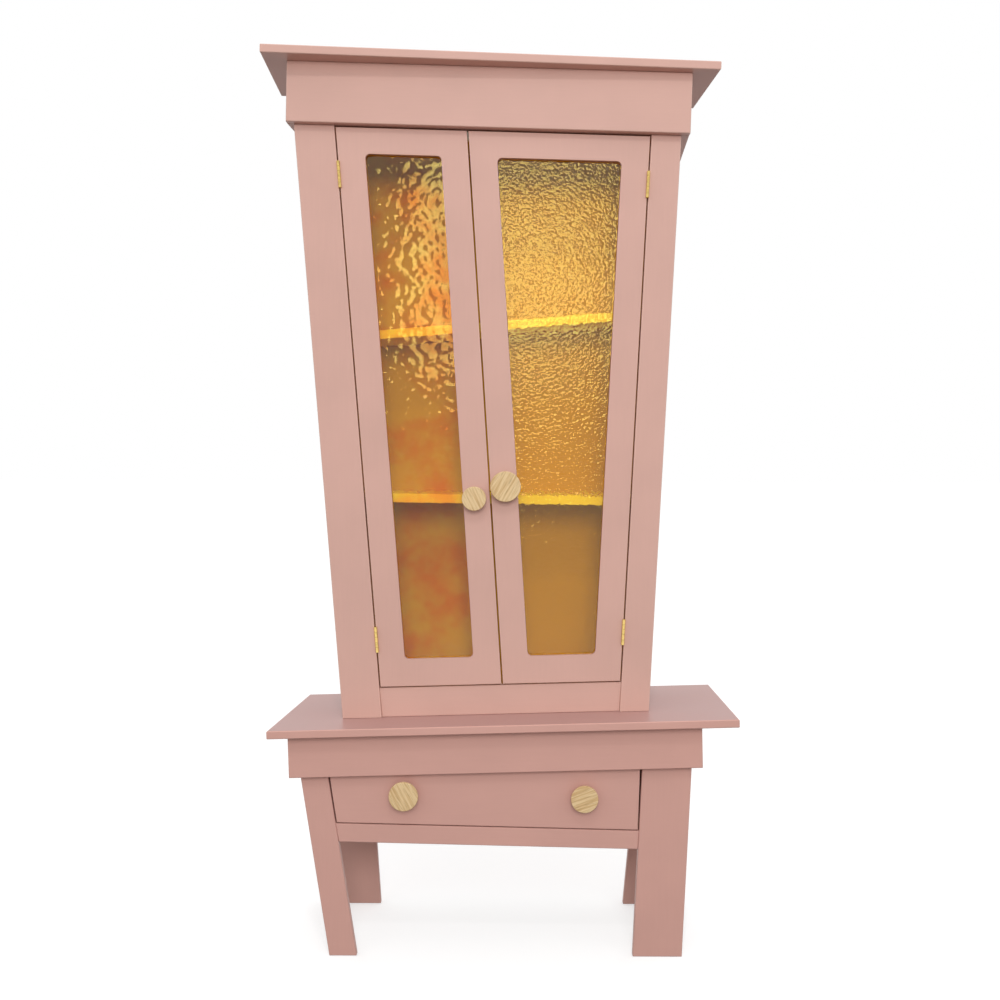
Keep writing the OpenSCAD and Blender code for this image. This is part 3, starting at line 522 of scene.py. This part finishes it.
class CabinetLook(bpy.types.PropertyGroup):
    """Colours and sheen of the cabinet"""
    pink: colour("Pink", "#D2A89B", "Paint on the case, the doors and the hat")
    base_pink: colour("Base pink", "#CFA094", "Paint on the stand")
    top_pink: colour("Tabletop pink", "#B8908A", "Varnished paint on the tabletop's upper face")
    # Lighter than the pink: rubbed paint and a painted highlight along the eased edges.
    arris: colour("Arris", "#DAB3A5", "Rubbed paint and painted highlight along the board edges")
    yellow: colour("Golden yellow", "#D0A629", "Paint inside the case")
    # Lighter copy of the inside yellow: a painted highlight on the shelves' lit front edges.
    shelf_yellow_painted_highlight: colour("Shelf yellow, painted highlight", "#FFF060", "Paint on the shelves")
    oak: colour("Oak", "#E2C698", "Light oak of the knobs")
    oak_dark: colour("Oak grain", "#CAA673", "Dark bands in the oak")
    pine: colour("Pine", "#D9B98A", "Bare pine of the drawer box")
    pine_dark: colour("Pine grain", "#B58E5C", "Dark bands in the pine")
    brass: colour("Brass", "#E6C67A", "Hinges")
    zinc: colour("Zinc", "#B9BBBD", "Knob screws and strike plates")
    acetal: colour("Acetal", "#E3DDCB", "Magnetic catch")
    glass_gold: colour("Gold glass", "#FFE67A", "Body colour of the panes")
    # Orange of the left pane's clouds: painted bounce light from the shaded yellow bays.
    glass_painted_bounce_colour: colour("Warm glass", "#FFAC3A", "Warmer clouds in the left pane, painted bounce light")
    paint_roughness: bpy.props.FloatProperty(name="Paint roughness", subtype="FACTOR",
                                             description="Roughness of the satin paint",
                                             default=0.45, min=0.1, max=0.9)


class CabinetFit(bpy.types.PropertyGroup):
    """How far visible pieces stand from their plain CAD forms"""
    upper_left_rise: distance("Upper left hinge rise", 8.3, "How far the hinge sits up its leaning line")
    upper_right_rise: distance("Upper right hinge rise", -9.4, "How far the hinge sits up its leaning line")
    lower_left_rise: distance("Lower left hinge rise", -8.2, "How far the hinge sits up its leaning line")
    lower_right_rise: distance("Lower right hinge rise", 8.9, "How far the hinge sits up its leaning line")
    plinth_set: distance("Plinth set-back", 4.0, "How far the plinth rail's face stands back")
    rail_set: distance("Rail set-back", 2.0, "How far the lower rail's face stands back")
    drawer_edge_lean: bpy.props.FloatProperty(name="Drawer edge lean", subtype="ANGLE",
                                              description="Added lean of the drawer front's left edge",
                                              default=math.radians(3.0))


class CabinetStage(bpy.types.PropertyGroup):
    """Camera, lamp and sky"""
    camera_place: bpy.props.FloatVectorProperty(name="Camera", description="Where the camera stands", size=3,
                                                subtype="TRANSLATION", unit="LENGTH",
                                                default=(0.002, -2.05324, 1.0089))
    camera_pitch: bpy.props.FloatProperty(name="Pitch down", description="How far the camera looks down",
                                          subtype="ANGLE", default=math.radians(2.86))
    camera_roll: bpy.props.FloatProperty(name="Roll", description="How far the camera is rolled",
                                         subtype="ANGLE", default=math.radians(0.2))
    lamp_place: bpy.props.FloatVectorProperty(name="Lamp", description="Where the soft lamp hangs", size=3,
                                              subtype="TRANSLATION", unit="LENGTH", default=(0.1, -2.9, 1.85))
    lamp_width: distance("Lamp width", 1000.0, "Width and height of the soft lamp")
    lamp_power: bpy.props.FloatProperty(name="Lamp power", description="Power of the soft lamp",
                                        subtype="POWER", unit="POWER", default=33.0, min=0.0)
    spark_place: bpy.props.FloatVectorProperty(name="High lamp", size=3, subtype="TRANSLATION",
                                               unit="LENGTH", default=(0.0, -2.0, 3.3),
                                               description="Where the small high lamp hangs")
    spark_width: distance("High lamp width", 150.0, "Width and height of the small high lamp")
    spark_power: bpy.props.FloatProperty(name="High lamp power", description="Power of the small high lamp",
                                         subtype="POWER", unit="POWER", default=9.0, min=0.0)
    sky: bpy.props.FloatProperty(name="Sky", description="Strength of the even light", default=0.92, min=0.0)


class CABINET_OT_stand(bpy.types.Operator):
    """Legs, side panels, rails and frieze boards of the stand, eased and painted"""
    bl_idname = "cabinet.stand"
    bl_label = "Stand"

    def execute(self, context):
        for name in ("front_left_leg", "front_right_leg", "back_left_leg", "back_right_leg", "base_left_side",
                     "base_right_side", "base_back_rail", "base_frieze_front", "base_frieze_left",
                     "base_frieze_right"):
            board(name, ["base"], arris="base")
        board("drawer_rail", ["base"], arris="base", shape=set_back(context.scene.cabinet_fit.rail_set))
        for name in ("drawer_runners", "drawer_kickers"):
            board(name, ["pine"])
        return {"FINISHED"}


class CABINET_OT_tabletop(bpy.types.Operator):
    """Tabletop of the stand, varnished on its upper face"""
    bl_idname = "cabinet.tabletop"
    bl_label = "Tabletop"

    def execute(self, context):
        board("tabletop", ["base", "top"], lambda n, c: 1 if n.z > 0.9 else 0, arris="base")
        return {"FINISHED"}


class CABINET_OT_case(bpy.types.Operator):
    """Stiles, plinth rail and walls of the case, pink outside and yellow inside"""
    bl_idname = "cabinet.case"
    bl_label = "Case"

    def execute(self, context):
        for name in ("left_stile", "right_stile"):
            board(name, ["pink", "yellow"], lambda n, c: 1 if n.y > 0.5 else 0, arris="arris",
                  shape=lambda bm: slide_hinges(bm, KNUCKLE_REACH))
        board("plinth_rail", ["pink", "yellow"], lambda n, c: 1 if n.y > 0.5 else 0, arris="arris",
              shape=set_back(context.scene.cabinet_fit.plinth_set))
        board("case_left_side", ["pink", "yellow"], lambda n, c: 1 if n.x > 0.5 else 0)
        board("case_right_side", ["pink", "yellow"], lambda n, c: 1 if n.x < -0.5 else 0)
        board("case_floor", ["pink", "yellow"],
              lambda n, c: 1 if n.z > 0.5 and c.y > DOOR_BACK_Y else 0, shape=split_at_doors)
        board("case_ceiling", ["pink", "yellow"],
              lambda n, c: 1 if n.z < -0.5 and c.y > DOOR_BACK_Y else 0, shape=split_at_doors)
        board("back_panel", ["pink", "yellow"], lambda n, c: 1 if n.y < -0.5 else 0)
        return {"FINISHED"}


class CABINET_OT_shelves(bpy.types.Operator):
    """Two tilted shelves on their battens, in a lighter yellow that paints in the highlight on their lit
    front edges
    """
    bl_idname = "cabinet.shelves"
    bl_label = "Shelves"

    def execute(self, context):
        for name in ("upper_shelf", "lower_shelf", "shelf_battens"):
            board(name, ["shelf"], ease_mm=1.0)
        return {"FINISHED"}


class CABINET_OT_hat(bpy.types.Operator):
    """Frieze boards and top board of the hat"""
    bl_idname = "cabinet.hat"
    bl_label = "Hat"

    def execute(self, context):
        for name in ("hat_front", "hat_left", "hat_right", "hat_back", "top_board"):
            board(name, ["pink"], arris="arris")
        return {"FINISHED"}


class CABINET_OT_doors(bpy.types.Operator):
    """Door boards and the beads that hold the panes"""
    bl_idname = "cabinet.doors"
    bl_label = "Doors"

    def execute(self, context):
        for hand in ("left", "right"):
            board(hand + "_door_face", ["pink", "yellow"], lambda n, c: 1 if n.y > 0.5 else 0, arris="arris",
                  shape=lambda bm: slide_hinges(bm, KNUCKLE_REACH))
            board(hand + "_glazing_beads", ["yellow"])
        return {"FINISHED"}


class CABINET_OT_glass(bpy.types.Operator):
    """Hammered pane on the left and stippled pane on the right"""
    bl_idname = "cabinet.glass"
    bl_label = "Glass"

    def execute(self, context):
        figured_pane("left_glass", "hammered", HAMMERED_STEP_MM, hammered_relief)
        figured_pane("right_glass", "stippled", STIPPLED_STEP_MM, stippled_relief)
        return {"FINISHED"}


class CABINET_OT_hinges(bpy.types.Operator):
    """Brass butt hinges with their pins and screws"""
    bl_idname = "cabinet.hinges"
    bl_label = "Hinges"

    def execute(self, context):
        for name in ("left_frame_leaves", "right_frame_leaves", "left_door_leaves", "right_door_leaves",
                     "hinge_pins", "frame_hinge_screws", "left_hinge_screws", "right_hinge_screws"):
            hardware(name, "brass", shape=lambda bm: slide_hinges(bm, HINGE_REACH))
        return {"FINISHED"}


class CABINET_OT_knobs(bpy.types.Operator):
    """Turned oak knobs, each with its grain set its own way, and their screws"""
    bl_idname = "cabinet.knobs"
    bl_label = "Knobs"

    def execute(self, context):
        for name, grain_deg in (("left_knob", -65), ("right_knob", 60), ("drawer_left_knob", -60),
                                ("drawer_right_knob", 20)):
            turned_knob(name, grain_deg)
        for name in ("left_knob_screw", "right_knob_screw", "drawer_knob_screws"):
            hardware(name, "zinc")
        return {"FINISHED"}


class CABINET_OT_drawer(bpy.types.Operator):
    """Drawer front in paint and drawer box in bare pine"""
    bl_idname = "cabinet.drawer"
    bl_label = "Drawer"

    def execute(self, context):
        board("drawer_front", ["base"], arris="base", shape=lean_left_edge)
        for name in ("drawer_left_side", "drawer_right_side", "drawer_back", "drawer_bottom"):
            board(name, ["pine"])
        return {"FINISHED"}


class CABINET_OT_catches(bpy.types.Operator):
    """Magnetic catch under the ceiling and the strike plates on the doors"""
    bl_idname = "cabinet.catches"
    bl_label = "Catches"

    def execute(self, context):
        hardware("magnet_catch", "acetal", 0.6)
        hardware("left_strike_plate", "zinc", 0.3)
        hardware("right_strike_plate", "zinc", 0.3)
        return {"FINISHED"}


def seen_rays(tree):
    """1 on rays that the eye, a mirror or a pane sees, and 0 on the rays that light the object."""
    path = add(tree, "ShaderNodeLightPath").outputs
    glass = add(tree, "ShaderNodeMath", {0: path["Is Glossy Ray"], 1: path["Is Transmission Ray"]},
                operation="MAXIMUM")
    return add(tree, "ShaderNodeMath", {0: glass, 1: path["Is Camera Ray"]}, operation="MAXIMUM")


# Matt paper floor: white to the eye, with the object's shadow in the part that the lamps light,
# and mid grey for the light that it throws back at the object.
def paper_floor():
    mat, tree = new_material("studio_paper_matt")
    place = add(tree, "ShaderNodeTexCoord").outputs["Object"]
    fibre = add(tree, "ShaderNodeTexNoise", {"Vector": place}, {"Scale": per_metre(1400)})
    tone = add(tree, "ShaderNodeMix", {0: fibre}, {6: linear("#CACACA"), 7: linear("#D0D0D0")},
               data_type="RGBA")
    lit = add(tree, "ShaderNodeBsdfDiffuse", {"Color": tone.outputs[2]})
    glow = add(tree, "ShaderNodeEmission", None, {"Color": linear("#FFFFFF"), "Strength": 0.5})
    white = add(tree, "ShaderNodeAddShader", {0: lit, 1: glow})
    grey = add(tree, "ShaderNodeBsdfDiffuse", None, {"Color": linear("#6A5F5B")})
    floor = add(tree, "ShaderNodeMixShader", {0: seen_rays(tree), 1: grey, 2: white})
    add(tree, "ShaderNodeOutputMaterial", {"Surface": floor})
    return mat


def square_lamp(name, place, width, power):
    """A square lamp aimed at the middle of the cabinet."""
    lamp = bpy.data.lights.new(name, "AREA")
    lamp.energy = power
    lamp.size = width
    light = bpy.data.objects.new(name, lamp)
    light.location = place
    aim = Vector((0, 0, sum(v.z for v in CAD_BOX) / 2)) - Vector(place)
    light.rotation_euler = aim.to_track_quat("-Z", "Y").to_euler()
    return light


class CABINET_OT_stage(bpy.types.Operator):
    """White floor, even sky, a soft lamp in front, a small high one for the sparkle, and the camera"""
    bl_idname = "cabinet.stage"
    bl_label = "Stage"

    def execute(self, context):
        setup, scene = context.scene.cabinet_stage, context.scene
        mesh = bpy.data.meshes.new("studio_floor")
        mesh.from_pydata([(x * FLOOR_REACH, y * FLOOR_REACH, 0)
                          for x, y in ((-1, -1), (1, -1), (1, 1), (-1, 1))], [], [(0, 1, 2, 3)])
        mesh.materials.append(paper_floor())
        floor = bpy.data.objects.new("studio_floor", mesh)
        floor.location.z = -0.5 * MM
        world = bpy.data.worlds.new("studio_world")
        world.use_nodes = True
        tree = world.node_tree
        tree.nodes.clear()
        even = add(tree, "ShaderNodeBackground", None, {"Color": linear("#FFFFFF"), "Strength": setup.sky})
        white = add(tree, "ShaderNodeBackground", None, {"Color": linear("#FFFFFF"), "Strength": 1.0})
        both = add(tree, "ShaderNodeMixShader", {0: seen_rays(tree), 1: even, 2: white})
        add(tree, "ShaderNodeOutputWorld", {"Surface": both})
        scene.world = world
        soft = square_lamp("soft_front_lamp", setup.lamp_place, setup.lamp_width, setup.lamp_power)
        soft.visible_glossy = False  # a mirrored soft lamp would wash the panes out
        spark = square_lamp("small_high_lamp", setup.spark_place, setup.spark_width, setup.spark_power)
        lens = bpy.data.cameras.new("camera")
        lens.sensor_width = lens.lens = FILM_MM
        camera = bpy.data.objects.new("camera", lens)
        camera.location = setup.camera_place
        turn = (Matrix.Rotation(math.radians(90) - setup.camera_pitch, 3, "X")
                @ Matrix.Rotation(setup.camera_roll, 3, "Z"))
        camera.rotation_euler = turn.to_euler()
        for made in (floor, soft, spark, camera):
            scene.collection.objects.link(made)
        scene.camera = camera
        scene.view_settings.view_transform = "Standard"
        return {"FINISHED"}


OPERATORS = (CABINET_OT_stand, CABINET_OT_tabletop, CABINET_OT_case, CABINET_OT_shelves, CABINET_OT_hat,
             CABINET_OT_doors, CABINET_OT_glass, CABINET_OT_hinges, CABINET_OT_knobs, CABINET_OT_drawer,
             CABINET_OT_catches, CABINET_OT_stage)


class CABINET_PT_panel(bpy.types.Panel):
    """Lists the settings and the steps that build the cabinet's look"""
    bl_idname = "CABINET_PT_panel"
    bl_label = "Crooked cabinet"
    bl_space_type = "VIEW_3D"
    bl_region_type = "UI"
    bl_category = "Cabinet"

    def draw(self, context):
        scene = context.scene
        for group in (scene.cabinet_look, scene.cabinet_fit, scene.cabinet_stage):
            for key in group.__annotations__:
                self.layout.prop(group, key)
        for operator in OPERATORS:
            self.layout.operator(operator.bl_idname)


CLASSES = (CabinetLook, CabinetFit, CabinetStage) + OPERATORS + (CABINET_PT_panel,)


def register():
    for cls in CLASSES:
        bpy.utils.register_class(cls)
    bpy.types.Scene.cabinet_look = bpy.props.PointerProperty(type=CabinetLook)
    bpy.types.Scene.cabinet_fit = bpy.props.PointerProperty(type=CabinetFit)
    bpy.types.Scene.cabinet_stage = bpy.props.PointerProperty(type=CabinetStage)


def unregister():
    del bpy.types.Scene.cabinet_stage
    del bpy.types.Scene.cabinet_fit
    del bpy.types.Scene.cabinet_look
    for cls in reversed(CLASSES):
        bpy.utils.unregister_class(cls)


def main():
    register()
    bpy.ops.cabinet.stand()
    bpy.ops.cabinet.tabletop()
    bpy.ops.cabinet.case()
    bpy.ops.cabinet.shelves()
    bpy.ops.cabinet.hat()
    bpy.ops.cabinet.doors()
    bpy.ops.cabinet.glass()
    bpy.ops.cabinet.hinges()
    bpy.ops.cabinet.knobs()
    bpy.ops.cabinet.drawer()
    bpy.ops.cabinet.catches()
    bpy.ops.cabinet.stage()


if __name__ == "__main__":
    main()
